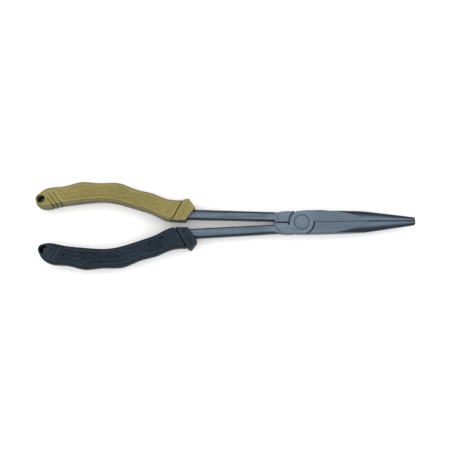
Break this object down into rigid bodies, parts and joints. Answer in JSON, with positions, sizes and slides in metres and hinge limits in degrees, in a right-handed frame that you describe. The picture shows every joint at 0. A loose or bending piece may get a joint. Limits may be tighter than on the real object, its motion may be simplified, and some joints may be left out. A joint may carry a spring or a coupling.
{
  "type": "long reach fishing pliers",
  "caption": "Long-reach needle-nose fishing pliers: toothed jaws and slim straight reins on a lap joint, arched soft grips with lanyard holes, one tan and one black.",
  "frame": {"origin": "rivet axis at the flat underside of the head", "axes": "+X along the closed jaws to their tip, +Y to the tan handle's side, +Z along the rivet axis, upwards"},
  "size_m": [0.2798, 0.0648, 0.0146],
  "materials": {
    "lever_steel": "satin, bead blasted",
    "rivet_steel": "satin, ground flush",
    "tan_rubber": "satin, moulded grain",
    "black_rubber": "satin, moulded grain",
    "core_plastic": "matt"
  },
  "bodies": {
    "tan_half": {"tan_side_lever": "lever_steel", "pivot_rivet": "rivet_steel", "tan_grip_core": "core_plastic", "tan_grip": "tan_rubber", "tan_front_guard": "tan_rubber"},
    "black_half": {"black_side_lever": "lever_steel", "black_grip_core": "core_plastic", "black_grip": "black_rubber", "black_front_guard": "black_rubber"}
  },
  "joints": [
    {"name": "pivot", "type": "hinge", "parent": "tan_half", "child": "black_half", "pos_m": [0, 0, 0.0047], "axis": [0, 0, 1], "range_deg": [0, 55]}
  ]
}
